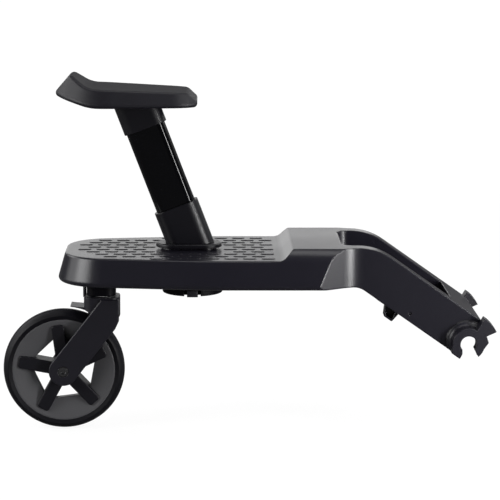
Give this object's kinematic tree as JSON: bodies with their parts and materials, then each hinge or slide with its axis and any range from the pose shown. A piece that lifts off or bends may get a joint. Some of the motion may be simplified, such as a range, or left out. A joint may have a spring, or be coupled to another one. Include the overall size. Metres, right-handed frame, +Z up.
{
  "type": "buggy board",
  "caption": "Moulded ride-on sibling board with a raised neck, a sloping arm with open axle clips, a trailing caster wheel and a saddle on a leaning post.",
  "frame": {"origin": "centre of the axle that the two clips hold, midway between the clips", "axes": "+X along the board from the caster to the clips, +Y along the axle to the far side, +Z up"},
  "size_m": [0.6073, 0.2068, 0.4465],
  "materials": {
    "deck_plastic": "satin black moulded plastic with a fine grain",
    "clip_plastic": "satin black tough plastic",
    "fork_plastic": "satin black glass-filled plastic",
    "tyre_rubber": "matt black rubber",
    "rim_plastic": "dark grey moulded plastic",
    "spoke_plastic": "black moulded plastic",
    "seat_plastic": "satin black moulded plastic",
    "collar_plastic": "satin black moulded plastic",
    "post_tube": "gloss black extruded tube",
    "button_plastic": "dark grey moulded plastic",
    "bush_plastic": "natural bearing plastic",
    "black_steel": "black oxide steel",
    "steel": "zinc-plated steel"
  },
  "bodies": {
    "board": {"deck_shell": "deck_plastic", "underside_cover": "deck_plastic", "cover_screws": "steel", "axle_clip_near": "clip_plastic", "axle_clip_far": "clip_plastic", "clip_screws": "steel", "swivel_housing": "deck_plastic", "swivel_screws": "steel", "upper_bush": "bush_plastic", "lower_bush": "bush_plastic", "seat_socket": "deck_plastic", "lock_housing": "deck_plastic", "lock_screws": "steel", "button_spring": "steel"},
    "release_button": {"release_button": "button_plastic"},
    "caster_fork": {"caster_fork": "fork_plastic", "swivel_stem": "steel", "stem_retainer": "steel", "axle_bolt": "black_steel", "axle_nut": "black_steel", "axle_washers": "steel", "bearing_spacer": "steel"},
    "wheel": {"tyre": "tyre_rubber", "rim": "rim_plastic", "wheel_spider_near": "spoke_plastic", "wheel_spider_far": "spoke_plastic", "wheel_bearing_near": "steel", "wheel_bearing_far": "steel"},
    "seat": {"seat_shell": "seat_plastic", "seat_base": "seat_plastic", "seat_screws": "steel", "seat_post": "post_tube", "lower_collar": "collar_plastic", "upper_collar": "collar_plastic", "base_flange": "collar_plastic", "post_spigot": "collar_plastic"}
  },
  "joints": [
    {"name": "caster_swivel", "type": "hinge", "parent": "board", "child": "caster_fork", "pos_m": [-0.45, 0, 0.04], "axis": [0, 0, 1], "continuous": true},
    {"name": "wheel_spin", "type": "hinge", "parent": "caster_fork", "child": "wheel", "pos_m": [-0.4975, 0, -0.0504], "axis": [0, 1, 0], "continuous": true},
    {"name": "seat_lift", "type": "slide", "parent": "board", "child": "seat", "axis": [-0.3584, 0, 0.9336], "range_m": [0, 0.06]},
    {"name": "button_press", "type": "slide", "parent": "board", "child": "release_button", "axis": [0, 1, 0], "range_m": [0, 0.005], "stiffness_N_per_m": 400, "springref_m": -0.003, "deforming": ["button_spring"]}
  ]
}
